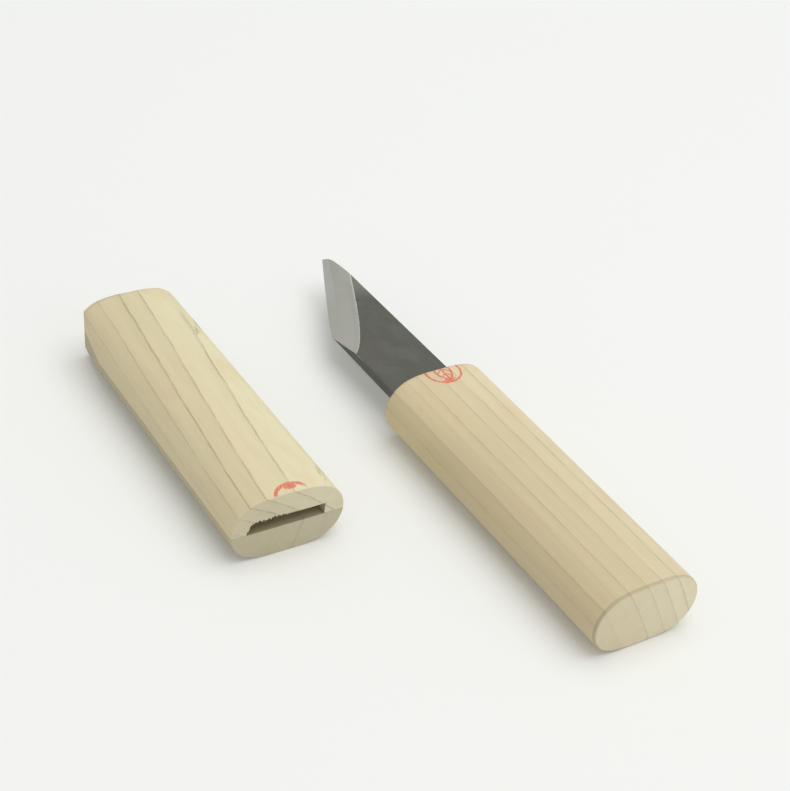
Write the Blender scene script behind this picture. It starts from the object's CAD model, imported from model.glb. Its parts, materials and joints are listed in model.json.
import json
import math

import bmesh
import bpy
import numpy as np
from mathutils import Matrix, Vector, noise


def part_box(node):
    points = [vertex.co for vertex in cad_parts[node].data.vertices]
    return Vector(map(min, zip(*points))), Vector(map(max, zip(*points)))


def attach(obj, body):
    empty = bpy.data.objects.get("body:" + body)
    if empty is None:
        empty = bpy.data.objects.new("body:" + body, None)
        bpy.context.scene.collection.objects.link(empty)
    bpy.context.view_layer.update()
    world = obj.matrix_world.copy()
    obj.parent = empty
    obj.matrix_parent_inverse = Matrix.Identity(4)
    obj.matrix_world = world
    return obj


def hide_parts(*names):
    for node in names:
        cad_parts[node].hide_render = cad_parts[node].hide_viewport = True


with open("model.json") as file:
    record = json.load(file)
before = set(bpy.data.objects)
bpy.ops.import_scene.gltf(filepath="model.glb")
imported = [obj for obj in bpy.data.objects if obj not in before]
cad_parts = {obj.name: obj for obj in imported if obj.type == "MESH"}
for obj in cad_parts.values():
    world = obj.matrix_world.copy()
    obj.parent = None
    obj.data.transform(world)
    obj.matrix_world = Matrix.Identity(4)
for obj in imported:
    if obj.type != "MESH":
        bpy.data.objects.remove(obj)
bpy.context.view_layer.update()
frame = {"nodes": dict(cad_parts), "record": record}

# Looks for the whittling knife and its sheath. Metres, in the CAD's frame: +X along the knife, +Z up.
# The meshes of the wooden pieces and the blade are worked out in millimetres from the frame's boxes.
MM = 0.001

# ---- Places read from the frame, in millimetres
RECORD = frame["record"]


def box_mm(node):
    """Lowest and highest corner of a CAD node."""
    low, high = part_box(node)
    return np.array(low) / MM, np.array(high) / MM


HANDLE_LOW, HANDLE_HIGH = box_mm("handle")
STEEL_LOW, STEEL_HIGH = box_mm("blade_edge_steel")
IRON_HIGH = box_mm("blade_iron_body")[1]
GLUE_LOW, GLUE_HIGH = box_mm("sheath_glue_line")
MOUTH_X = HANDLE_HIGH[0]
HANDLE_LENGTH = HANDLE_HIGH[0] - HANDLE_LOW[0]
WOOD_WIDTH = HANDLE_HIGH[1] - HANDLE_LOW[1]
WOOD_HEIGHT = HANDLE_HIGH[2]
MID_HEIGHT = WOOD_HEIGHT / 2

DRAW_AXIS = Vector(RECORD["behaviour"]["joints"][0]["axis"])
SHEATH_TURN = math.atan2(DRAW_AXIS.y, DRAW_AXIS.x)
SHEATH_REST = [m["pos_m"] for m in RECORD["mounts"] if m["name"] == "sheath_rest"][0]
SHEATH_LENGTH = 100.0
SHEATH_TAPER = 1.25  # of the far end, on the -Y side
FAR_END_EXTRA = 0.5  # the planed wood runs on this far past the CAD's far end
FAR_END_SKEW = 0.024  # and its far end leans this much, farthest on the +Y side
SHEATH_MOUTH = Vector(SHEATH_REST) - DRAW_AXIS * (SHEATH_LENGTH / 2 * MM)
PARED_LENGTH = 16.5  # the facet pared off the far end's +Y side
PARED_DEPTH = 2.7
PARED_LEAN = math.radians(3.0)

# ---- The wood's section, as in the CAD
FLAT_WIDTH = 6.0
SHOULDER_RADIUS = 27.0

# ---- The blade, measured from the handle's mouth
BACK_Z = STEEL_LOW[2]
WELD_Z = STEEL_HIGH[2]
FACE_Z = IRON_HIGH[2]
THICKNESS = FACE_Z - BACK_Z
SPINE_EXTRA = 0.25  # wider at the spine than the CAD
SPINE_Y = STEEL_LOW[1] - SPINE_EXTRA
SPINE_TAPER = 1.05
SPINE_END_Y = SPINE_Y + SPINE_TAPER
SIDE_Y = STEEL_HIGH[1]
TIP_SHORT = 0.2  # of the CAD's point
TIP_X = STEEL_HIGH[0] - TIP_SHORT
HEEL_X = MOUTH_X + 37.7
RIDGE_SPINE_X = MOUTH_X + 61.5
RIDGE_HEEL_X = MOUTH_X + 24.3
RIDGE_BOW = 1.64
RIDGE_SKEW = 0.62  # below 1, the ridge bows most near the heel
TIP_RADIUS = 4.5
TIP_DROP = 1.4
TIP_RUN = math.sqrt(2 * TIP_RADIUS * TIP_DROP - TIP_DROP**2)
EDGE_BULGE = 0.35
EDGE_SKEW = 0.7  # as the ridge's
WELD_LEVEL = (WELD_Z - BACK_Z) / THICKNESS


# ======================================================================= node graphs
class Graph:
    """A material's nodes, with short calls for sums on sockets and numbers."""

    def __init__(self, name):
        self.material = bpy.data.materials.new(name)
        self.material.use_nodes = True
        self.nodes = self.material.node_tree.nodes
        self.links = self.material.node_tree.links
        self.shader = self.nodes["Principled BSDF"]

    def put(self, socket, value):
        """Link an output to a socket, or set the socket's value."""
        if isinstance(value, bpy.types.NodeSocket):
            self.links.new(value, socket)
        elif hasattr(value, "__len__") and len(value) == 3 and len(socket.default_value) == 4:
            socket.default_value = (*value, 1.0)
        else:
            socket.default_value = value

    def math(self, operation, *values):
        node = self.nodes.new("ShaderNodeMath")
        node.operation = operation
        for socket, value in zip(node.inputs, values):
            self.put(socket, value)
        return node.outputs[0]

    def add(self, *values):
        total = values[0]
        for value in values[1:]:
            total = self.math("ADD", total, value)
        return total

    def sub(self, a, b):
        return self.math("SUBTRACT", a, b)

    def mul(self, *values):
        total = values[0]
        for value in values[1:]:
            total = self.math("MULTIPLY", total, value)
        return total

    def length(self, a, b):
        return self.math("SQRT", self.add(self.mul(a, a), self.mul(b, b)))

    def step(self, value, low, high):
        """0 below low, 1 above high and smooth between; falls instead if low is above high."""
        node = self.nodes.new("ShaderNodeMapRange")
        node.interpolation_type = "SMOOTHSTEP"
        self.put(node.inputs["Value"], value)
        self.put(node.inputs["From Min"], min(low, high))
        self.put(node.inputs["From Max"], max(low, high))
        self.put(node.inputs["To Min"], 0.0 if low < high else 1.0)
        self.put(node.inputs["To Max"], 1.0 if low < high else 0.0)
        return node.outputs["Result"]

    def band(self, value, centre, half_width, soft):
        """1 where value is within half_width of centre, fading over soft."""
        away = self.math("ABSOLUTE", self.sub(value, centre))
        return self.step(away, half_width + soft, half_width)

    def vector(self, x, y, z):
        node = self.nodes.new("ShaderNodeCombineXYZ")
        for socket, value in zip(node.inputs, (x, y, z)):
            self.put(socket, value)
        return node.outputs[0]

    def split(self, vector):
        node = self.nodes.new("ShaderNodeSeparateXYZ")
        self.put(node.inputs[0], vector)
        return node.outputs

    def place(self):
        """The point on the piece in millimetres, in the piece's own frame."""
        texture = self.nodes.new("ShaderNodeTexCoord")
        scaled = self.nodes.new("ShaderNodeVectorMath")
        scaled.operation = "SCALE"
        self.put(scaled.inputs[0], texture.outputs["Object"])
        scaled.inputs["Scale"].default_value = 1 / MM
        return self.split(scaled.outputs[0])

    def facing(self):
        """The surface's direction in the piece's own frame."""
        return self.split(self.nodes.new("ShaderNodeTexCoord").outputs["Normal"])

    def noise(self, vector, detail=2.0, roughness=0.5):
        """Noise from 0 to 1, one wave per unit of the vector."""
        node = self.nodes.new("ShaderNodeTexNoise")
        self.put(node.inputs["Vector"], vector)
        node.inputs["Scale"].default_value = 1.0
        node.inputs["Detail"].default_value = detail
        node.inputs["Roughness"].default_value = roughness
        return node.outputs["Fac"]

    def grain(self, place, stretch, detail, roughness=0.5, seed=0.0):
        """Noise at a place, with so many waves per millimetre along each axis."""
        x, y, z = (self.mul(value, waves) for value, waves in zip(place, stretch))
        return self.noise(self.vector(x, y, self.add(z, seed)), detail, roughness)

    def mix(self, factor, a, b):
        node = self.nodes.new("ShaderNodeMix")
        node.data_type = "RGBA"
        colours = [s for s in node.inputs if s.type == "RGBA"]
        self.put(node.inputs["Factor"], factor)
        self.put(colours[0], a)
        self.put(colours[1], b)
        return [s for s in node.outputs if s.type == "RGBA"][0]

    def shade(self, colour, factor):
        """A colour multiplied by a number."""
        node = self.nodes.new("ShaderNodeVectorMath")
        node.operation = "SCALE"
        self.put(node.inputs[0], colour)
        self.put(node.inputs["Scale"], factor)
        return node.outputs[0]

    def bump(self, height, distance, strength=1.0):
        """Relief from a height of 0 to 1 that stands for distance millimetres."""
        node = self.nodes.new("ShaderNodeBump")
        node.inputs["Strength"].default_value = strength
        node.inputs["Distance"].default_value = distance * MM
        self.put(node.inputs["Height"], height)
        self.put(self.shader.inputs["Normal"], node.outputs[0])

    def set(self, **sockets):
        """Set or link the shader's sockets; an underscore stands for a space."""
        for name, value in sockets.items():
            self.put(self.shader.inputs[name.replace("_", " ")], value)


# ======================================================================= materials
HANDLE_TONES = ((0.612, 0.510, 0.318), (0.628, 0.545, 0.360), (0.618, 0.492, 0.302))
SHEATH_TONES = ((0.676, 0.586, 0.372), (0.706, 0.650, 0.430), (0.660, 0.545, 0.350))
COOL_PATCH = (0.92, 0.97, 0.90)  # times the plain tone
END_GREY = (0.58, 0.55, 0.44)
RING_BROWN = (0.30, 0.235, 0.13)
NICK_OLIVE = (0.36, 0.33, 0.13)
WORN_SHADE = 0.30
PALE_SIDE_Y = (8.0, -12.0)  # the spans over which a tone changes
CLEAR_SIDE_Y = (-9.0, -11.5)
PALE_END_X = (62.0, 95.0)
NEAR_SIDE_Y = (8.0, 13.0)
INK_RED = (0.74, 0.085, 0.055)
INK_COVER = 0.86

SCALE_TONES = ((0.100, 0.102, 0.085), (0.124, 0.126, 0.107))
SCALE_GREEN = (0.096, 0.118, 0.092)
SCALE_BROWN = (0.116, 0.107, 0.082)
SCRATCH_GREY = (0.21, 0.21, 0.19)
CHIP_BLACK = (0.045, 0.045, 0.042)
ARRIS_GREY = (0.62, 0.62, 0.58)
TIP_BROWN = (0.215, 0.203, 0.170)
IRON_TONES = ((0.505, 0.505, 0.448), (0.570, 0.568, 0.505))
IRON_WARM = (0.560, 0.515, 0.475)
IRON_GREEN = (0.550, 0.550, 0.455)
STEEL_TONES = ((0.565, 0.567, 0.525), (0.615, 0.617, 0.575))
LIP_WHITE = (0.93, 0.93, 0.91)

RESIN_TONES = ((0.10, 0.065, 0.03), (0.19, 0.125, 0.06))
GLUE_TONES = ((0.36, 0.28, 0.15), (0.52, 0.43, 0.26))
TABLE_TONES = ((0.825, 0.832, 0.808), (0.835, 0.842, 0.818))
TABLE_GLOW = (1.0, 1.005, 0.98)

# The stamp lies half on the handle and half on the sheath, so each half is drawn on its own piece.
SEAL_RADIUS = 5.3
SEAL_Y = -0.6
SEAL_INSET = 1.7  # its centre lies this far onto the handle
LEAF_OFFSET = 2.4  # the leaf is where two circles overlap, each this far off its midrib
LEAF_RADIUS = 4.7


def seal_leaf(g, along, across, wobble):
    """A leaf's outline, midrib and veins."""
    near = g.length(along, g.sub(across, LEAF_OFFSET))
    far = g.length(along, g.add(across, LEAF_OFFSET))
    leaf = g.add(g.math("MAXIMUM", near, far), g.mul(wobble, 0.5))
    outline = g.band(leaf, LEAF_RADIUS, 0.20, 0.22)
    inside = g.step(leaf, LEAF_RADIUS + 0.1, LEAF_RADIUS - 0.1)
    midrib = g.mul(g.band(across, 0.0, 0.2, 0.2), inside)
    slope = g.add(along, g.mul(g.math("ABSOLUTE", across), 0.9))
    veins = g.mul(g.band(g.math("FRACT", g.mul(slope, 0.45)), 0.5, 0.10, 0.10), inside)
    return g.math("MAXIMUM", outline, g.math("MAXIMUM", midrib, veins))


def seal_mask(g, along, across, facing_up, blot, bold):
    """A generic ring stamp in uneven ink, smudged at the blot. It holds a leaf unless it is bold, and a
    bold ring fades on its -Y side. along and across are from its centre."""
    wobble = g.sub(g.noise(g.vector(g.mul(along, 0.9), g.mul(across, 0.9), 3.0)), 0.5)
    radius = g.add(g.length(along, across), g.mul(wobble, 0.5))
    drawn = g.band(radius, SEAL_RADIUS, 0.24 + bold, 0.25)
    smudge = g.length(g.mul(g.sub(along, blot[0]), 1.4), g.mul(g.sub(across, blot[1]), 0.7))
    drawn = g.math("MAXIMUM", drawn, g.step(g.add(smudge, g.mul(wobble, 2.0)), 1.5, 1.1))
    if bold:
        drawn = g.mul(drawn, g.step(across, -5.0, -3.4))
    else:
        drawn = g.math("MAXIMUM", drawn, seal_leaf(g, along, across, wobble))
    patchy = g.noise(g.vector(g.mul(along, 0.8), g.mul(across, 2.2), 7.0), 4.0, 0.7)
    ink = g.add(0.5, g.mul(0.5, g.step(patchy, 0.36, 0.58)))
    return g.mul(drawn, ink, g.step(facing_up, 0.25, 0.5))


def ring_masks(g, radius, rings):
    """Growth rings as (radius, strength, change of tone beyond): a darker line with a sharp outer side
    and, inside it, a slow ramp of latewood."""
    line = 0.0
    late = 0.0
    tone = 0.0
    for ring, strength, change in rings:
        inside = g.sub(ring, radius)
        sharp = g.step(inside, -0.08, 0.08)
        line = g.math("MAXIMUM", line, g.mul(sharp, g.step(inside, 0.50, 0.12), strength))
        late = g.math("MAXIMUM", late, g.mul(sharp, g.step(inside, 2.2, 0.1), strength))
        if change:
            tone = g.add(tone, g.mul(g.step(inside, 0.15, -0.15), change))
    return line, late, tone


class WoodGraph(Graph):
    """A wood's nodes, with the masks and noises that its colour and relief share."""

    def __init__(self, name, seed):
        super().__init__(name)
        self.seed = seed
        self.point = self.place()
        self.normal = self.facing()
        lengthways = self.math("ABSOLUTE", self.normal[0])
        self.end_grain = self.step(lengthways, 0.5, 0.85)
        self.side_grain = self.sub(1.0, self.end_grain)
        self.not_end = self.step(lengthways, 0.97, 0.90)
        self.fibre = self.grain(self.point, (0.05, 2.2, 2.2), 4.0, 0.62)
        self.streak = self.grain(self.point, (0.012, 0.38, 0.38), 3.0, 0.6, seed)
        self.patch = self.grain(self.point, (0.045, 0.11, 0.11), 3.0, seed=seed + 5)
        self.pores = self.grain(self.point, (0.6, 4.5, 4.5), 3.0, 0.6)
        flecks = self.grain(self.point, (0.35, 2.0, 2.0), 2.0)
        self.fleck = self.mul(self.step(flecks, 0.62, 0.74), self.side_grain)


def wood_rings(g, rings, pith, drift):
    """The rings round a pith at (y, z) that leans by drift along X: the distance from it, and the ring
    lines, latewood and changes of tone. The rings sway and kink, and their lines are broken."""
    x, y, z = g.point
    sway = g.sub(g.grain(g.point, (0.02, 0.06, 0.06), 3.0, seed=g.seed), 0.5)
    kinks = g.sub(g.grain(g.point, (0.11, 0.14, 0.14), 3.0, 0.7, g.seed), 0.5)
    radius = g.length(g.sub(y, pith[0]), g.sub(z, pith[1]))
    radius = g.add(radius, g.mul(x, -drift), g.mul(sway, 0.9), g.mul(kinks, 0.65))
    line, late, tone = ring_masks(g, radius, rings)
    whole = g.step(g.grain(g.point, (0.09, 0.5, 0.5), 3.0, 0.6, g.seed), 0.36, 0.60)
    line = g.mul(line, g.add(0.35, g.mul(whole, 0.65)))
    return radius, line, late, tone


def nick_stain(g, start, end):
    """Where the wood is stained along a torn sliver, a line between two plan points."""
    x, y, _ = g.point
    run = (end[0] - start[0], end[1] - start[1])
    travel = g.add(g.mul(g.sub(x, start[0]), run[0]), g.mul(g.sub(y, start[1]), run[1]))
    share = g.mul(travel, 1 / (run[0] ** 2 + run[1] ** 2))
    share = g.math("MINIMUM", g.math("MAXIMUM", share, 0.0), 1.0)
    off_x = g.sub(g.sub(x, start[0]), g.mul(share, run[0]))
    off_y = g.sub(g.sub(y, start[1]), g.mul(share, run[1]))
    near = g.step(g.add(g.length(off_x, off_y), g.mul(g.pores, 0.5)), 1.1, 0.3)
    return g.mul(near, g.step(g.normal[2], 0.0, 0.3), 0.55)


def wood_colour(g, tones, line, late, nicks):
    """The wood's tones in slow patches, the rings, and the stains along torn slivers."""
    plain, pale, warm = tones
    cool = [c * f for c, f in zip(plain, COOL_PATCH)]
    colour = g.mix(g.step(g.point[1], *PALE_SIDE_Y), plain, pale)
    colour = g.mix(g.mul(g.step(g.patch, 0.50, 0.72), 0.6), colour, warm)
    colour = g.mix(g.mul(g.step(g.patch, 0.46, 0.28), 0.5), colour, cool)
    colour = g.mix(g.mul(late, 0.10), colour, RING_BROWN)
    colour = g.mix(g.mul(line, g.add(0.55, g.mul(g.end_grain, 0.40))), colour, RING_BROWN)
    colour = g.mix(g.mul(g.end_grain, 0.40), colour, END_GREY)
    for start, end in nicks:
        colour = g.mix(nick_stain(g, start, end), colour, NICK_OLIVE)
    return colour


def wood_lightness(g, tone, dim, end_tone, pale_end, worn, ends):
    """What the colour is multiplied by at each point."""
    x, y, _ = g.point
    value = g.add(dim, tone, g.mul(g.sub(g.fibre, 0.5), 0.11), g.mul(g.sub(g.streak, 0.5), 0.12))
    value = g.add(value, g.mul(g.fleck, -0.05))
    value = g.add(value, g.mul(g.end_grain, g.add(g.mul(g.pores, 0.16), end_tone - 0.08)))
    if pale_end:
        rise = g.mul(g.step(x, *PALE_END_X), pale_end)
        value = g.add(value, g.mul(rise, g.add(1.0, g.mul(g.step(y, *NEAR_SIDE_Y), 0.8)), g.side_grain))
    if worn:
        axis, level = worn
        soiled = g.mul(g.band(g.point[axis], level, 0.05, 0.05), g.step(g.normal[axis], 0.7, 0.9))
        value = g.mul(value, g.sub(1.0, g.mul(soiled, WORN_SHADE)))
    for end, dark in ends:
        value = g.sub(value, g.mul(g.band(x, end, 0.85, 0.40), g.not_end, dark))
    return value


def wood(name, tones, rings, pith, drift, seed, ends, dim=1.0, end_tone=0.0, pale_end=0.0, worn=None,
         clear_beyond=None, faint_within=None, seal=None, blot=None, bold=0.0, nicks=()):
    """Pale planed wood, whose rings are cut by the real surface.

    tones are the plain colour, the paler one on the -Y side and a warm one for patches. ends are the
    arrises darkened by handling, as (x, how much). dim and end_tone set how light the piece and its end
    grain are, and pale_end how much lighter it gets towards +X. worn is an inner face that has darkened,
    as (axis, place). On the -Y side the ring lines fade out over the span clear_beyond of x, and on the
    end grain they are faint within the radius faint_within. seal is the stamp's centre, with blot and
    bold as in seal_mask, and nicks are the ends of the torn slivers' stains.
    """
    g = WoodGraph(name, seed)
    x, y, _ = g.point
    radius, line, late, tone = wood_rings(g, rings, pith, drift)
    if clear_beyond:
        line = g.mul(line, g.sub(1.0, g.mul(g.step(x, *clear_beyond), g.step(y, *CLEAR_SIDE_Y))))
    if faint_within:
        faint = g.mul(g.end_grain, g.step(radius, faint_within, faint_within - 1.0))
        line = g.mul(line, g.sub(1.0, g.mul(faint, 0.65)))

    colour = wood_colour(g, tones, line, late, nicks)
    colour = g.shade(colour, wood_lightness(g, tone, dim, end_tone, pale_end, worn, ends))
    if seal:
        mask = seal_mask(g, g.sub(x, seal[0]), g.sub(y, seal[1]), g.normal[2], blot, bold)
        colour = g.mix(g.mul(mask, g.side_grain, INK_COVER), colour, INK_RED)

    relief = g.add(g.mul(g.fibre, 0.5), g.mul(g.pores, g.end_grain, 0.8))
    relief = g.add(relief, g.mul(line, -0.5), g.mul(g.fleck, -0.35))
    g.bump(relief, 0.05, 0.5)
    g.set(Base_Color=colour, Roughness=g.add(0.58, g.mul(g.fibre, 0.14), g.mul(g.end_grain, 0.08)))
    g.set(Specular_IOR_Level=0.3)
    return g.material


def ground_noise(g, x, y):
    """Fine grinding lines that run across the bevel, square to the cutting edge."""
    edge = Vector((TIP_X - HEEL_X, SPINE_Y + TIP_DROP - SIDE_Y)).normalized()
    along = g.add(g.mul(x, edge.x), g.mul(y, edge.y))
    across = g.add(g.mul(x, -edge.y), g.mul(y, edge.x))
    fine = g.noise(g.vector(g.mul(along, 7.0), g.mul(across, 0.12), 0.0), 4.0, 0.65)
    broad = g.noise(g.vector(g.mul(along, 0.35), g.mul(across, 0.08), 2.0), 3.0)
    return fine, broad


def past_ridge(g, x, y):
    """How far a point lies past the bevel's ridge, in millimetres, and its share of the way along it
    from the heel's side to the spine."""
    heel = np.array([RIDGE_HEEL_X, SIDE_Y])
    chord = np.array([RIDGE_SPINE_X, SPINE_END_Y]) - heel
    length = np.hypot(*chord)
    along = chord / length
    out_x = g.sub(x, float(heel[0]))
    out_y = g.sub(y, float(heel[1]))
    travel = g.add(g.mul(out_x, float(along[0])), g.mul(out_y, float(along[1])))
    offset = g.add(g.mul(out_x, float(-along[1])), g.mul(out_y, float(along[0])))
    share = g.math("MINIMUM", g.math("MAXIMUM", g.mul(travel, float(1 / length)), 0.0), 1.0)
    turn = g.mul(g.math("POWER", share, RIDGE_SKEW), math.pi)
    return g.add(offset, g.mul(g.math("SINE", turn), RIDGE_BOW)), share


def forge_scale(g, place, facing, past, share, mottle, grit):
    """Mottled, scratched scale, chipped along the ridge, worn on the long arris and browner by the tip."""
    x, y, _ = place
    tint = g.grain(place, (0.07, 0.10, 0.0), 2.0, seed=9.0)
    drag = g.grain(place, (0.10, 1.6, 0.0), 3.0, 0.6, 4.0)
    colour = g.mix(g.step(mottle, 0.35, 0.7), *SCALE_TONES)
    colour = g.mix(g.mul(g.step(tint, 0.52, 0.7), 0.7), colour, SCALE_GREEN)
    colour = g.mix(g.mul(g.step(tint, 0.46, 0.3), 0.7), colour, SCALE_BROWN)
    scratch = g.mul(g.step(drag, 0.66, 0.72), g.step(grit, 0.42, 0.6))
    colour = g.mix(g.mul(scratch, 0.3), colour, SCRATCH_GREY)
    chips = g.step(g.grain(place, (0.30, 0.30, 0.0), 2.0, seed=15.0), 0.60, 0.68)
    chips = g.mul(chips, g.band(past, -0.5, 0.35, 0.3), g.step(share, 0.80, 0.70))
    colour = g.mix(g.mul(chips, 0.6), colour, CHIP_BLACK)
    worn = g.mul(g.band(facing[2], 0.70, 0.12, 0.08), g.step(y, 0.0, 1.0))
    worn = g.mul(worn, g.step(x, RIDGE_HEEL_X - 4.5, RIDGE_HEEL_X - 2.5))
    colour = g.mix(g.mul(worn, 0.9), colour, ARRIS_GREY)
    by_tip = g.mul(g.step(share, 0.66, 0.88), g.step(facing[2], 0.5, 0.8))
    colour = g.mix(g.mul(by_tip, 0.9), colour, TIP_BROWN)
    on_side = g.step(g.math("ABSOLUTE", facing[2]), 0.5, 0.2)
    return g.shade(colour, g.add(0.88, g.mul(grit, 0.24), g.mul(on_side, -0.22)))


def ground_metal(g, place, past, share, on_bevel, on_back, fine, broad):
    """Ground iron and steel, and where it is steel: a wavy weld line parts the brighter hard steel from
    the greyer soft iron, and the bevel has a light lip at its ridge."""
    depth = g.sub(place[2], BACK_Z)
    waves = g.sub(g.grain(place, (0.22, 0.22, 0.0), 3.0, seed=5.0), 0.5)
    weld = g.add(WELD_Z - BACK_Z, g.mul(waves, 0.5))
    hard = g.step(g.sub(weld, depth), -0.06, 0.10)
    hard = g.math("MAXIMUM", hard, on_back)
    stain = g.grain(place, (0.10, 0.10, 0.0), 2.0, seed=21.0)
    iron = g.mix(broad, *IRON_TONES)
    iron = g.mix(g.mul(g.step(stain, 0.54, 0.70), 0.5), iron, IRON_WARM)
    iron = g.mix(g.mul(g.step(stain, 0.46, 0.30), 0.5), iron, IRON_GREEN)
    steel = g.mix(broad, *STEEL_TONES)
    shows = g.math("MAXIMUM", g.add(0.25, g.mul(g.step(share, 0.6, 0.9), 0.75)), on_back)
    colour = g.mix(g.mul(hard, shows), iron, steel)
    lip = g.add(0.22, g.mul(g.step(share, 0.35, 0.8), 0.33))
    colour = g.mix(g.mul(g.band(past, 0.20, 0.12, 0.10), on_bevel, lip), colour, LIP_WHITE)
    value = g.add(0.985, g.mul(fine, 0.18), g.mul(g.step(share, 0.5, 0.1), 0.05))
    return g.shade(colour, g.add(value, g.mul(g.step(past, 2.6, 0.6), -0.06))), hard


def blade_metal(name):
    """Forge scale on the flat face and sides, and satin grinding on the bevel and the back."""
    g = Graph(name)
    place = g.place()
    x, y, _ = place
    facing = g.facing()
    fine, broad = ground_noise(g, x, y)
    past, share = past_ridge(g, x, y)
    ragged = g.sub(g.grain(place, (0.9, 0.9, 0.0), 3.0, 0.6, 11.0), 0.5)
    past = g.add(past, g.mul(ragged, 0.35))
    on_bevel = g.mul(g.step(past, -0.05, 0.05), g.step(facing[2], 0.3, 0.6))
    on_back = g.step(facing[2], -0.5, -0.8)
    ground = g.math("MAXIMUM", on_bevel, on_back)
    scaled = g.sub(1.0, ground)

    mottle = g.grain(place, (0.12, 0.16, 0.0), 5.0, 0.6, 1.0)
    grit = g.grain(place, (1.8, 1.8, 1.0), 4.0, 0.7)
    scale = forge_scale(g, place, facing, past, share, mottle, grit)
    metal, hard = ground_metal(g, place, past, share, on_bevel, on_back, fine, broad)

    g.set(Base_Color=g.mix(ground, scale, metal))
    g.set(Metallic=g.add(0.15, g.mul(ground, 0.85)))
    rough_ground = g.add(0.40, g.mul(fine, 0.10), g.mul(hard, -0.05))
    rough_scale = g.add(0.46, g.mul(grit, 0.16), g.mul(mottle, -0.08))
    g.set(Roughness=g.add(g.mul(ground, rough_ground), g.mul(scaled, rough_scale)))
    g.set(Specular_IOR_Level=0.3)
    relief = g.add(g.mul(ground, fine, 0.25), g.mul(scaled, g.add(grit, g.mul(mottle, 1.5))))
    g.bump(relief, 0.03, 0.5)
    return g.material


def plain_mottled(name, tones, roughness, frequency):
    """Set resin or glue: two tones of one colour with a little relief."""
    g = Graph(name)
    cloud = g.grain(g.place(), (frequency, frequency, frequency), 4.0, 0.6)
    g.set(Base_Color=g.mix(g.step(cloud, 0.3, 0.7), *tones))
    g.set(Roughness=g.add(roughness, g.mul(cloud, 0.15)))
    g.bump(cloud, 0.04)
    return g.material


def table_top():
    """A plain pale surface with the faintest change of tone. A little light comes up through it, which
    keeps the shadows thin."""
    g = Graph("table_top")
    cloud = g.grain(g.place(), (0.004, 0.004, 0.0), 2.0)
    g.set(Base_Color=g.mix(cloud, *TABLE_TONES))
    g.set(Emission_Color=TABLE_GLOW, Emission_Strength=0.06)
    g.set(Roughness=0.8, Specular_IOR_Level=0.1)
    return g.material


# ======================================================================= meshes
SMOOTH_ANGLE = 35.0
BLADE_SMOOTH_ANGLE = 40.0
MERGE_DISTANCE = 0.0005


def add_mesh(name, points, faces, material, smooth_angle=SMOOTH_ANGLE):
    """A mesh object from points in millimetres, with smooth shading up to an angle."""
    mesh = bpy.data.meshes.new(name)
    mesh.from_pydata([tuple(float(c) * MM for c in point) for point in points], [], faces)
    mesh.materials.append(material)
    piece = bpy.data.objects.new(name, mesh)
    bpy.context.collection.objects.link(piece)
    smooth(mesh, smooth_angle)
    return piece


def add_tube(name, points, count, material):
    """A closed solid through rings of count points each, with a flat face at both ends."""
    faces = []
    for ring in range(len(points) // count - 1):
        for k in range(count):
            a = ring * count + k
            b = ring * count + (k + 1) % count
            faces.append((a, b, b + count, a + count))
    faces.append(tuple(range(count)))
    faces.append(tuple(range(len(points) - count, len(points))))
    return add_mesh(name, points, faces, material)


def smooth(mesh, angle=SMOOTH_ANGLE):
    """Merge doubled points, point the faces outwards and shade smooth up to an angle."""
    work = bmesh.new()
    work.from_mesh(mesh)
    bmesh.ops.remove_doubles(work, verts=work.verts, dist=MERGE_DISTANCE * MM)
    bmesh.ops.recalc_face_normals(work, faces=work.faces)
    if work.calc_volume(signed=True) < 0:
        bmesh.ops.reverse_faces(work, faces=work.faces)
    limit = math.radians(angle)
    for edge in work.edges:
        edge.smooth = len(edge.link_faces) == 2 and edge.calc_face_angle(0.0) < limit
    for face in work.faces:
        face.smooth = True
    work.to_mesh(mesh)
    work.free()


def cut(piece, tool):
    """Take the tool's solid out of the piece and delete the tool."""
    modifier = piece.modifiers.new("cut", "BOOLEAN")
    modifier.operation = "DIFFERENCE"
    modifier.solver = "EXACT"
    modifier.object = tool
    settle(piece)
    bpy.data.objects.remove(tool)


def settle(piece):
    """Apply the piece's modifiers."""
    bpy.context.view_layer.update()
    graph = bpy.context.evaluated_depsgraph_get()
    mesh = bpy.data.meshes.new_from_object(piece.evaluated_get(graph))
    piece.modifiers.clear()
    piece.data = mesh


def slice_off(piece, point, direction):
    """Take off what lies beyond a plane, leaving a flat face. point is in millimetres."""
    work = bmesh.new()
    work.from_mesh(piece.data)
    result = bmesh.ops.bisect_plane(
        work, geom=work.verts[:] + work.edges[:] + work.faces[:],
        plane_co=[c * MM for c in point], plane_no=direction, clear_outer=True,
    )
    rim = [e for e in result["geom_cut"] if isinstance(e, bmesh.types.BMEdge)]
    bmesh.ops.holes_fill(work, edges=rim, sides=0)
    work.to_mesh(piece.data)
    work.free()
    smooth(piece.data)


def wave(a, b, c):
    """Smooth noise from about -1 to 1."""
    return noise.noise(Vector((a, b, c)))


def clamp(value):
    """The value, kept from 0 to 1."""
    return min(max(value, 0.0), 1.0)


# ---- wooden bars
AROUND = 240
STATIONS = 64
FACETS = (0, 17, 34, 50, 64, 77, 84, 90)  # degrees from the side to the top, where the plane went
FACET_SHARE = 0.7  # of the full depth of a facet
FACET_WANDER = math.radians(2.5)
FINE_ANGLES = np.radians(np.arange(0, 91, 1.0))
EASE_STEPS = 5
SKEW_RUN = 20.0  # a skew end leans over this length


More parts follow.
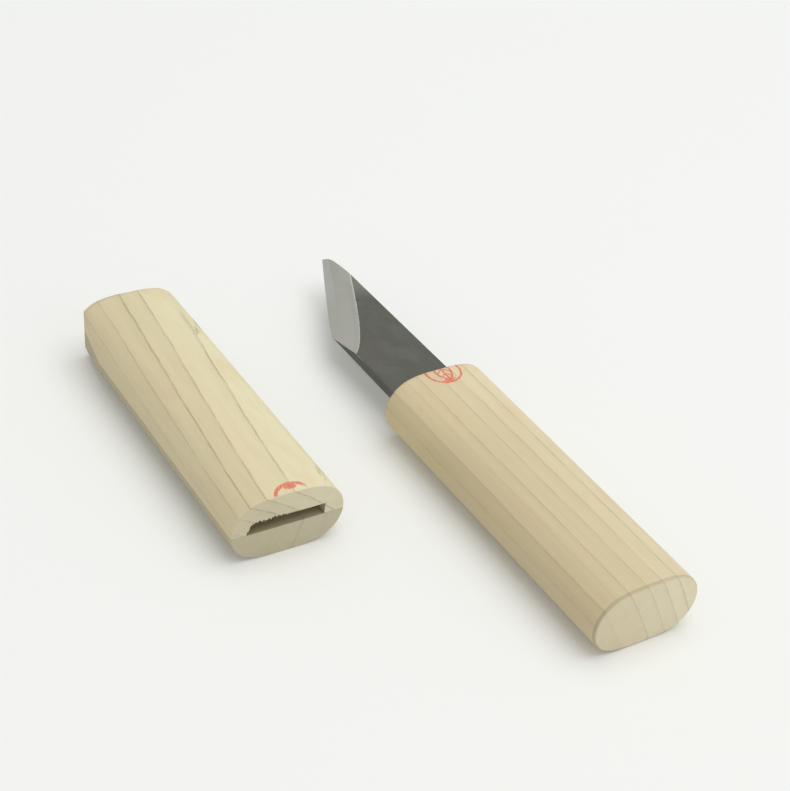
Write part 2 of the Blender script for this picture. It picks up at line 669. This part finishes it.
def side_arc(reach):
    """The arc at the oval's side: its radius, how far out its centre is, and the angle from the side to
    where the shoulder's arc takes over."""
    run = reach - FLAT_WIDTH / 2
    squares = 2 * SHOULDER_RADIUS * MID_HEIGHT - MID_HEIGHT**2 - run**2
    radius = squares / (2 * (SHOULDER_RADIUS - run))
    centre = reach - radius
    return radius, centre, math.atan2(SHOULDER_RADIUS - MID_HEIGHT, centre - FLAT_WIDTH / 2)


def support(reach, angles):
    """How far the oval's tangent line at each angle lies from its centre."""
    radius, centre, meeting = side_arc(reach)
    on_side = centre * np.cos(angles) + radius
    drop = (MID_HEIGHT - SHOULDER_RADIUS) * np.sin(angles)
    on_shoulder = FLAT_WIDTH / 2 * np.cos(angles) + drop + SHOULDER_RADIUS
    return np.where(angles <= meeting, on_side, on_shoulder)


def top_height(y, reach):
    """Height of the oval's top surface above a point across it."""
    radius, centre, meeting = side_arc(reach)
    out = abs(y)
    past_flat = out - FLAT_WIDTH / 2
    if past_flat <= 0:
        return WOOD_HEIGHT
    if past_flat <= SHOULDER_RADIUS * math.cos(meeting):
        return WOOD_HEIGHT - SHOULDER_RADIUS + math.sqrt(SHOULDER_RADIUS**2 - past_flat**2)
    return MID_HEIGHT + math.sqrt(max(0.0, radius**2 - (out - centre) ** 2))


def ray_length(rays, reach, angles, side, level):
    """Distance along each ray to the nearest of one quarter's tangent lines."""
    least = 0.05
    beyond = 1e3
    facing = rays @ np.array([side * np.cos(angles), level * np.sin(angles)])
    lengths = support(reach, angles) / np.maximum(facing, least)
    return np.min(np.where(facing > least, lengths, beyond), axis=1)


def bar_rays():
    """Directions round the section, evenly spaced along its outline."""
    turn = np.linspace(0, 2 * math.pi, 2000)
    rays = np.column_stack([np.cos(turn), np.sin(turn)])
    reach = WOOD_WIDTH / 2
    quarters = [ray_length(rays, reach, FINE_ANGLES, side, level) for side in (1, -1) for level in (1, -1)]
    outline = rays * np.min(quarters, axis=0)[:, None]
    travel = np.concatenate([[0], np.cumsum(np.hypot(*np.diff(outline, axis=0).T))])
    wanted = np.linspace(0, travel[-1], AROUND, endpoint=False)
    points = np.column_stack([np.interp(wanted, travel, outline[:, k]) for k in (0, 1)])
    return points / np.hypot(*points.T)[:, None]


def planed_section(rays, reaches, x, seed):
    """The oval as a plane leaves it, in narrow facets that wander a little along the piece. It is as
    (y, z) about its centre, and reaches is how far it goes to +Y and to -Y."""
    smooth_quarters = []
    faceted_quarters = []
    for side, reach in zip((1, -1), reaches):
        for level in (1, -1):
            smooth_quarters.append(ray_length(rays, reach, FINE_ANGLES, side, level))
            angles = np.radians(FACETS)
            for k in range(1, len(FACETS) - 1):
                angles[k] += FACET_WANDER * wave(x * 0.011, k * 3.7 + level, seed + side)
            faceted_quarters.append(ray_length(rays, reach, angles, side, level))
    plain = np.min(smooth_quarters, axis=0)
    faceted = np.min(faceted_quarters, axis=0)
    return rays * (plain + FACET_SHARE * (faceted - plain))[:, None]


def eased_end(ease):
    """Steps of an eased arris, from the end face inwards, as (distance from the end, inset)."""
    turns = np.linspace(0, math.pi / 2, EASE_STEPS)
    return [(ease * (1 - math.cos(t)), ease * (1 - math.sin(t))) for t in turns]


def bar(name, length, reaches_at, ease_start, ease_end, seed, material, skew=0.0):
    """A planed wooden bar along X from 0, standing on z = 0, with eased arrises at both ends. Its far end
    may be cut a little askew."""
    rays = bar_rays()
    stations = eased_end(ease_start)
    span = length - ease_start - ease_end
    stations += [(ease_start + span * k / STATIONS, 0.0) for k in range(1, STATIONS)]
    stations += [(length - x, inset) for x, inset in reversed(eased_end(ease_end))]
    points = []
    for x, inset in stations:
        section = planed_section(rays, reaches_at(x), x, seed)
        reach = np.hypot(*section.T)
        uneven = np.array([1 + 0.5 * wave(k * 0.11, x * 0.1, seed + 11) for k in range(AROUND)])
        section *= ((reach - inset * uneven) / reach)[:, None]
        lean = skew * max(0.0, 1 - (length - x) / SKEW_RUN)
        points += [(x + lean * y, y, z + MID_HEIGHT) for y, z in section]
    return add_tube(name, points, AROUND, material)


# ---- the sheath's channel
CHANNEL_DEPTH = 80.0
CHANNEL_TOP = FACE_Z + 0.2
CHANNEL_NEAR = SIDE_Y + 0.1
CHANNEL_FAR = SPINE_Y - 1.75
CHANNEL_STATIONS = (-2.0, 0.0, 0.3, 0.6, 1.0, 1.6, 2.5, 4.0, 12.0, 40.0, CHANNEL_DEPTH)
CHANNEL_COLUMNS = 150
TORN_DEPTH = 1.0  # the tearing fades over this depth
TORN_FROM_Y = -3.0  # it grows from here to +Y, over TORN_RUN
TORN_RUN = 3.0
STAIR_RUN = 2.6  # at the +Y end the edge steps down
STAIR_TREAD = 0.85
STAIR_RISE = 1.1
LEAST_OPENING = 0.3


def torn_height(out, y):
    """Height of the channel's top, which is torn and stepped at the mouth."""
    torn = math.exp(-max(out, 0.0) / TORN_DEPTH)
    rough = 0.10 + 0.90 * clamp((y - TORN_FROM_Y) / TORN_RUN)
    saw = (y / 0.95 + 0.5 * wave(y * 0.6, 0.0, 5.0)) % 1.0
    splinters = 1.1 * abs(wave(y * 0.9, out * 0.5, 1.7)) + 0.6 * wave(y * 3.1, out * 1.5, 4.2)
    tooth = 1.2 * (0.5 * saw + splinters) - 0.35
    stair = STAIR_RISE * max(0.0, math.floor((y - CHANNEL_NEAR + STAIR_RUN) / STAIR_TREAD))
    return max(CHANNEL_TOP + torn * (rough * tooth - stair), GLUE_HIGH[2] + LEAST_OPENING)


def channel_tool(floor):
    """What was cut for the blade."""
    points = []
    for out in CHANNEL_STATIONS:
        for y in np.linspace(CHANNEL_FAR, CHANNEL_NEAR, CHANNEL_COLUMNS + 1):
            points.append((out, y, torn_height(out, y)))
        points += [(out, CHANNEL_NEAR, floor), (out, CHANNEL_FAR, floor)]
    return add_tube("channel_tool", points, CHANNEL_COLUMNS + 3, None)


# ---- the blade
ARRIS = 0.20
COLUMNS = 64
IRON_START_X = MOUTH_X - 13.0
STEEL_START_X = MOUTH_X - 9.5
IRON_ROWS = (150, 30)  # on the flat and on the bevel
STEEL_ROWS = (110, 24)
HOLLOW_CENTRE_X = MOUTH_X + 27.0
HOLLOW_HALF_LENGTH = 23.0
HOLLOW_HALF_WIDTH = 7.0
HOLLOW_DEPTH = 0.25
FORGED_DROP = 0.03  # keeps the uneven face inside the CAD's


def spine_y(x):
    """The spine closes in from the handle to the ridge."""
    return SPINE_Y + (SPINE_END_Y - SPINE_Y) * clamp((x - MOUTH_X) / (RIDGE_SPINE_X - MOUTH_X))


def bowed(start, end, share, rise):
    """A point on the line between two plan points, pushed off it by rise."""
    chord = end - start
    square = np.array([chord[1], -chord[0]]) / np.hypot(*chord)
    return start + chord * share + square * rise


def edge_line(share):
    """Plan point on the cutting edge; 0 is the heel and 1 the tip."""
    rise = EDGE_BULGE * math.sin(math.pi * clamp(share) ** EDGE_SKEW)
    tip = np.array([TIP_X, SPINE_END_Y + TIP_DROP])
    return bowed(np.array([HEEL_X, SIDE_Y]), tip, share, -rise)


def ridge_line(share):
    """Plan point on the bevel's ridge, which bows most near the heel; 0 is the heel's side."""
    rise = RIDGE_BOW * math.sin(math.pi * clamp(share) ** RIDGE_SKEW)
    spine = np.array([RIDGE_SPINE_X, SPINE_END_Y])
    return bowed(np.array([RIDGE_HEEL_X, SIDE_Y]), spine, share, rise)


def halve(low, high, is_past, turns):
    """The place between low and high where is_past becomes true, by halving."""
    for _ in range(turns):
        middle = (low + high) / 2
        if is_past(middle):
            high = middle
        else:
            low = middle
    return (low + high) / 2


def climb_at(level, share):
    """How far from the edge to the ridge the bevel reaches a level of the thickness. The bevel is a
    little convex, most of all towards the tip."""
    toward_tip = clamp((share - 0.7) / 0.3)
    swell = 0.10 + 0.65 * toward_tip**2 * (3 - 2 * toward_tip)

    def is_past(climb):
        return climb + swell * climb * (1 - climb) * min(1.0, climb / 0.35) > level

    return halve(0.0, 1.0, is_past, 24)


def on_bevel(share, level):
    """Plan point on the bevel at a level of the thickness."""
    climb = climb_at(level, share)
    return edge_line(share) * (1 - climb) + ridge_line(share) * climb


def past_outline(point):
    """How far a plan point lies outside the spine and the drop to the tip."""
    centre = np.array([TIP_X - TIP_RUN, SPINE_END_Y + TIP_RADIUS])
    if point[0] <= centre[0] or point[1] >= centre[1]:
        return SPINE_END_Y - point[1]
    return np.hypot(*(point - centre)) - TIP_RADIUS


def last_share(level):
    """Where a level line of the bevel meets the spine or the drop to the tip."""
    return halve(0.8, 1.3, lambda share: past_outline(on_bevel(share, level)) > 0, 40)


def blade_plan(start_x, top_level, low_level, back_rows, bevel_rows):
    """Rows of plan points from start_x to the bevel's top_level line and down to its low_level line,
    each with its level. The first rows, on the flat, are at top_level."""
    shares = np.concatenate([[0.0, 0.006], np.linspace(0.02, 0.98, COLUMNS), [0.994, 1.0]])
    end = last_share(top_level)
    front = [on_bevel(s * end, top_level) for s in shares]
    rows = []
    for near in np.concatenate([np.linspace(0, 0.985, back_rows), [0.994, 0.998, 1.0]]):
        line = []
        for x, y in front:
            across = (y - SIDE_Y) / (spine_y(x) - SIDE_Y)
            here = start_x + (x - start_x) * near
            line.append((here, SIDE_Y + (spine_y(here) - SIDE_Y) * across))
        rows.append((line, top_level))
    drops = np.concatenate([[0.006, 0.02], np.linspace(0.05, 1.0, bevel_rows)])
    for level in top_level + (low_level - top_level) * drops:
        end = last_share(level)
        rows.append(([on_bevel(s * end, level) for s in shares], level))
    return rows


def layer_faces(depth, count):
    """Faces of a solid whose top is a grid of depth rows of count points, and its floor the next such
    grid."""
    under = depth * count
    faces = []
    for r in range(depth - 1):
        for k in range(count - 1):
            a = r * count + k
            faces.append((a, a + 1, a + 1 + count, a + count))
            faces.append((under + a, under + a + count, under + a + 1 + count, under + a + 1))
    for r in range(depth - 1):
        for k in (0, count - 1):
            a = r * count + k
            faces.append((a, a + count, under + a + count, under + a))
    for k in range(count - 1):
        for r in (0, depth - 1):
            a = r * count + k
            faces.append((a, under + a, under + a + 1, a + 1))
    return faces


def layer(name, rows, top_of, floor_of, ease_top, ease_floor, material):
    """A closed solid between a top and a floor over one grid of plan points, with eased long edges."""
    tops = []
    floors = []
    count = len(rows[0][0])
    for line, level in rows:
        for k, point in enumerate(line):
            low = floor_of(point, level)
            high = max(low, top_of(point, level))
            if k in (0, count - 1):
                half = (high - low) / 2
                low += min(ease_floor, half)
                high -= min(ease_top, half)
            tops.append((point[0], point[1], high))
            floors.append((point[0], point[1], low))
    return add_mesh(name, tops + floors, layer_faces(len(rows), count), material, BLADE_SMOOTH_ANGLE)


def forged(point):
    """The slight unevenness of the forged face."""
    x, y = point
    return 0.030 * wave(x * 0.13, y * 0.17, 2.0) + 0.010 * wave(x * 0.6, y * 0.7, 6.0)


def hollow(point):
    """Depth of the ground hollow in the back."""
    along = (point[0] - HOLLOW_CENTRE_X) / HOLLOW_HALF_LENGTH
    across = (point[1] - (SPINE_Y + SIDE_Y) / 2) / HOLLOW_HALF_WIDTH
    return HOLLOW_DEPTH * max(0.0, 1 - along**2 - across**2)


def level_height(point, level):
    """The bevel, which falls evenly with the level."""
    return BACK_Z + THICKNESS * level


def iron_top(point, level):
    """The bevel, or the forged face, which is even where the handle holds it."""
    if level < 1.0:
        return level_height(point, level)
    return FACE_Z - FORGED_DROP + forged(point) * min(1.0, (point[0] - IRON_START_X) / 20.0)


def weld_height(point, level):
    """The weld, which is flat."""
    return WELD_Z


def steel_floor(point, level):
    """The back, with its hollow."""
    return BACK_Z + min(hollow(point), THICKNESS * level)


def make_blade():
    """The blade's soft-iron body and its hard-steel back, meeting at the weld."""
    metal = blade_metal("forged_and_ground_metal")
    iron_rows = blade_plan(IRON_START_X, 1.0, WELD_LEVEL, *IRON_ROWS)
    iron = layer("blade_iron", iron_rows, iron_top, weld_height, ARRIS, 0.0, metal)
    steel_rows = blade_plan(STEEL_START_X, WELD_LEVEL, 0.0, *STEEL_ROWS)
    steel = layer("blade_steel", steel_rows, level_height, steel_floor, 0.0, ARRIS, metal)
    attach(iron, "knife")
    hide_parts("blade_iron_body")
    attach(steel, "knife")
    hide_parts("blade_edge_steel")


# ---- the handle
HANDLE_EASE = 0.7
HANDLE_PITH = (130.0, -57.0)
HANDLE_RINGS = (  # as ring_masks takes them
    (132.9, 0.30, 0.0), (136.8, 0.35, 0.045), (141.1, 0.25, 0.0), (144.6, 0.60, 0.02), (149.6, 0.50, 0.02),
    (153.8, 0.50, 0.05), (157.8, 0.90, 0.0),
)
MORTISE_DEPTH = 30.0
MORTISE_SIDE_GAP = 0.4
MORTISE_FACE_GAP = 0.3
PAST_END = 2.0


def mortise_tool():
    """A box round the blade, from inside the handle to past its mouth."""
    low = (HANDLE_LENGTH - MORTISE_DEPTH, SPINE_Y - MORTISE_SIDE_GAP, BACK_Z - MORTISE_FACE_GAP)
    high = (HANDLE_LENGTH + PAST_END, SIDE_Y + MORTISE_SIDE_GAP, FACE_Z + MORTISE_FACE_GAP)
    corners = [(x, y, z) for x in (low[0], high[0]) for y in (low[1], high[1]) for z in (low[2], high[2])]
    sides = [(0, 1, 3, 2), (4, 6, 7, 5), (0, 4, 5, 1), (2, 3, 7, 6), (0, 2, 6, 4), (1, 5, 7, 3)]
    return add_mesh("mortise_tool", corners, sides, None)


def make_handle():
    """The handle, with its mortise round the blade, which the bedding fills up to near the mouth."""
    material = wood(
        "handle_wood", HANDLE_TONES, HANDLE_RINGS, HANDLE_PITH, drift=0.0, seed=3.0,
        ends=((0.0, 0.21), (HANDLE_LENGTH, 0.08)), end_tone=0.145, pale_end=0.06, faint_within=143.0,
        seal=(HANDLE_LENGTH - SEAL_INSET, SEAL_Y), blot=(-4.2, 0.4),
    )
    half = WOOD_WIDTH / 2
    handle = bar(
        "handle_planed", HANDLE_LENGTH, lambda x: (half, half), HANDLE_EASE, HANDLE_EASE, 1.0, material,
    )
    cut(handle, mortise_tool())
    smooth(handle.data)
    handle.location = (HANDLE_LOW[0] * MM, 0, 0)
    bpy.context.view_layer.update()
    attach(handle, "knife")
    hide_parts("handle")


# ---- the sheath
SHEATH_MOUTH_EASE = 0.3
SHEATH_FAR_EASE = 0.6
SHEATH_NEAR_LESS = 0.1  # than the handle's half width, on the +Y side
SHEATH_FAR_MORE = 0.4  # and more on the -Y side
UPPER_PITH = (42.6, -46.0)
UPPER_RINGS = (
    (62.9, 0.40, 0.0), (67.6, 0.60, 0.0), (71.5, 1.00, 0.01), (74.7, 0.70, 0.07), (79.2, 0.90, 0.02),
)
LOWER_PITH = (70.0, 30.0)
LOWER_RINGS = (
    (56.0, 0.15, 0.0), (63.5, 0.20, 0.0), (70.6, 0.15, 0.0), (77.9, 0.60, 0.0), (85.0, 0.15, 0.0),
)
FAR_NICK = ((86.0, -13.5), (82.6, -12.8), (78.9, -11.4), (76.0, -10.2), (73.4, -8.8))
NEAR_NICK = ((10.5, -13.0), (8.4, -12.85), (5.8, -12.2), (3.4, -11.6), (-0.6, -10.3))
FAR_NICK_WIDTH = 1.5
NEAR_NICK_WIDTH = 1.3
NICK_DEPTH = 0.45
NICK_STEPS = 24


def sheath_reaches(x):
    """How far the sheath's section goes to +Y and to -Y."""
    taper = SHEATH_TAPER * x / SHEATH_LENGTH
    return WOOD_WIDTH / 2 - SHEATH_NEAR_LESS, WOOD_WIDTH / 2 + SHEATH_FAR_MORE - taper


def pare(piece):
    """Pare the facet off the sheath's far end."""
    turn = math.atan2(PARED_DEPTH, PARED_LENGTH)
    level = math.cos(PARED_LEAN)
    direction = (math.sin(turn) * level, math.cos(turn) * level, -math.sin(PARED_LEAN))
    slice_off(piece, (SHEATH_LENGTH - PARED_LENGTH, WOOD_WIDTH / 2, MID_HEIGHT), direction)


def nick_tool(path, width):
    """A sliver torn out along a path on the sheath's top, steep on its +Y side and shallow on the other."""
    points = []
    knots = np.array(path)
    for step in range(NICK_STEPS + 1):
        share = step / NICK_STEPS
        at = share * (len(knots) - 1)
        x = float(np.interp(at, range(len(knots)), knots[:, 0]))
        y = float(np.interp(at, range(len(knots)), knots[:, 1]))
        swell = math.sin(math.pi * min(share * 0.97 + 0.03, 1.0)) ** 0.7
        swell *= 1 + 0.35 * wave(x * 0.8, y, 3.0)
        half = 0.5 * width * swell
        depth = NICK_DEPTH * swell
        reach = sheath_reaches(x)[1]
        height = top_height(y, reach)
        lean = (height - top_height(y - width, reach)) / width
        points.append((x, y + 0.25 * half, height + 0.25))
        points.append((x, y, height - depth))
        points.append((x, y - 2 * half, height - 2 * half * lean - 0.3 * depth))
        points.append((x, y - 2 * half, height + 1.0))
    return add_tube("nick_tool", points, 4, None)


def make_sheath():
    """The sheath's two halves and the glue between them, cut from one planed bar."""
    length = SHEATH_LENGTH + FAR_END_EXTRA
    ends = ((length, 0.10),)
    upper_wood = wood(
        "sheath_upper_wood", SHEATH_TONES, UPPER_RINGS, UPPER_PITH, drift=0.0505, seed=8.0, ends=ends,
        end_tone=-0.01, worn=(1, CHANNEL_FAR), clear_beyond=(80.0, 85.0),
        seal=(-SEAL_INSET, SEAL_Y - 0.4), blot=(4.0, -0.3), bold=0.2,
        nicks=(FAR_NICK[3:1:-1], NEAR_NICK[2:0:-1]),
    )
    lower_wood = wood(
        "sheath_lower_wood", SHEATH_TONES, LOWER_RINGS, LOWER_PITH, drift=0.03, seed=13.0, ends=ends,
        dim=0.715, end_tone=0.115, worn=(2, GLUE_LOW[2]),
    )
    glue = plain_mottled("dried_glue", GLUE_TONES, 0.45, 0.8)
    parts = [
        ("sheath_upper_planed", "sheath_upper_half", GLUE_HIGH[2], WOOD_HEIGHT, upper_wood, "sheath_wood"),
        ("sheath_lower_planed", "sheath_lower_half", 0.0, GLUE_LOW[2], lower_wood, "sheath_wood"),
        ("sheath_glue", "sheath_glue_line", GLUE_LOW[2], GLUE_HIGH[2], glue, "wood_glue"),
    ]
    for name, node, low, high, material, slot in parts:
        piece = bar(
            name, length, sheath_reaches, SHEATH_MOUTH_EASE, SHEATH_FAR_EASE, 5.0, material, FAR_END_SKEW,
        )
        pare(piece)
        if high < WOOD_HEIGHT:
            slice_off(piece, (0, 0, high), (0, 0, 1))
        if low > 0:
            slice_off(piece, (0, 0, low), (0, 0, -1))
            cut(piece, channel_tool(GLUE_LOW[2] - 0.5))
        if high == WOOD_HEIGHT:
            cut(piece, nick_tool(FAR_NICK, FAR_NICK_WIDTH))
            cut(piece, nick_tool(NEAR_NICK, NEAR_NICK_WIDTH))
        smooth(piece.data)
        piece.location = SHEATH_MOUTH
        piece.rotation_euler = (0, 0, SHEATH_TURN)
        bpy.context.view_layer.update()
        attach(piece, "sheath")
        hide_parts(node)


def paint_bedding():
    """The set resin round the tang, which is the CAD's own piece."""
    resin = plain_mottled("set_resin", RESIN_TONES, 0.35, 1.5)
    for slot in frame["nodes"]["tang_bedding"].material_slots:
        slot.material = resin


# ======================================================================= stage
CAMERA_PLACE = Vector((-0.31177, 0.27742, 0.34125))
CAMERA_HEADING = math.radians(-36.06)  # of the view direction, from +X
CAMERA_DIP = math.radians(36.12)
CAMERA_ROLL = math.radians(7.32)
LENS = 89.5
SENSOR_WIDTH = 36.0
NEAREST_SEEN = 0.01
TABLE_HALF = 3.0
STAGE_CENTRE = Vector((0.04, 0.03, 0.0))
LIGHT_COLOUR = (1.0, 0.995, 0.98)
LIGHTS = (  # name, place from the centre, diameter, power
    ("overhead", Vector((-0.25, -0.50, 2.3)), 2.8, 32.5),
    ("front", Vector((-2.3, -0.9, 1.1)), 1.8, 4.5),
)
ROOM_COLOUR = (0.98, 0.99, 1.0, 1.0)
ROOM_STRENGTH = 0.58


def make_camera():
    """The camera, held a little askew."""
    forward = Vector((
        math.cos(CAMERA_DIP) * math.cos(CAMERA_HEADING),
        math.cos(CAMERA_DIP) * math.sin(CAMERA_HEADING),
        -math.sin(CAMERA_DIP),
    ))
    level = Vector((math.sin(CAMERA_HEADING), -math.cos(CAMERA_HEADING), 0))
    upright = level.cross(forward)
    right = math.cos(CAMERA_ROLL) * level + math.sin(CAMERA_ROLL) * upright
    up = math.cos(CAMERA_ROLL) * upright - math.sin(CAMERA_ROLL) * level
    turn = Matrix((right, up, -forward)).transposed().to_4x4()
    data = bpy.data.cameras.new("camera")
    data.sensor_fit = "HORIZONTAL"
    data.sensor_width = SENSOR_WIDTH
    data.lens = LENS
    data.clip_start = NEAREST_SEEN
    camera = bpy.data.objects.new("camera", data)
    camera.matrix_world = Matrix.Translation(CAMERA_PLACE) @ turn
    bpy.context.collection.objects.link(camera)
    bpy.context.scene.camera = camera


def make_table():
    """A wide pale table."""
    half = TABLE_HALF
    corners = [(-half, -half, 0), (half, -half, 0), (half, half, 0), (-half, half, 0)]
    mesh = bpy.data.meshes.new("table")
    mesh.from_pydata(corners, [], [(0, 1, 2, 3)])
    mesh.materials.append(table_top())
    table = bpy.data.objects.new("table", mesh)
    bpy.context.collection.objects.link(table)


def add_light(name, offset, size, power):
    """A round soft light that points at the stage's centre."""
    data = bpy.data.lights.new(name, "AREA")
    data.shape = "DISK"
    data.size = size
    data.energy = power
    data.color = LIGHT_COLOUR
    light = bpy.data.objects.new(name, data)
    light.location = STAGE_CENTRE + offset
    light.rotation_euler = (STAGE_CENTRE - light.location).to_track_quat("-Z", "Y").to_euler()
    bpy.context.collection.objects.link(light)


def make_lights():
    """A large soft light above, a weaker one in front and an even room."""
    for settings in LIGHTS:
        add_light(*settings)
    world = bpy.data.worlds.new("soft_room")
    world.use_nodes = True
    background = world.node_tree.nodes["Background"]
    background.inputs["Color"].default_value = ROOM_COLOUR
    background.inputs["Strength"].default_value = ROOM_STRENGTH
    bpy.context.scene.world = world
    bpy.context.scene.view_settings.view_transform = "Standard"


make_camera()
make_blade()
make_handle()
make_sheath()
paint_bedding()
make_table()
make_lights()
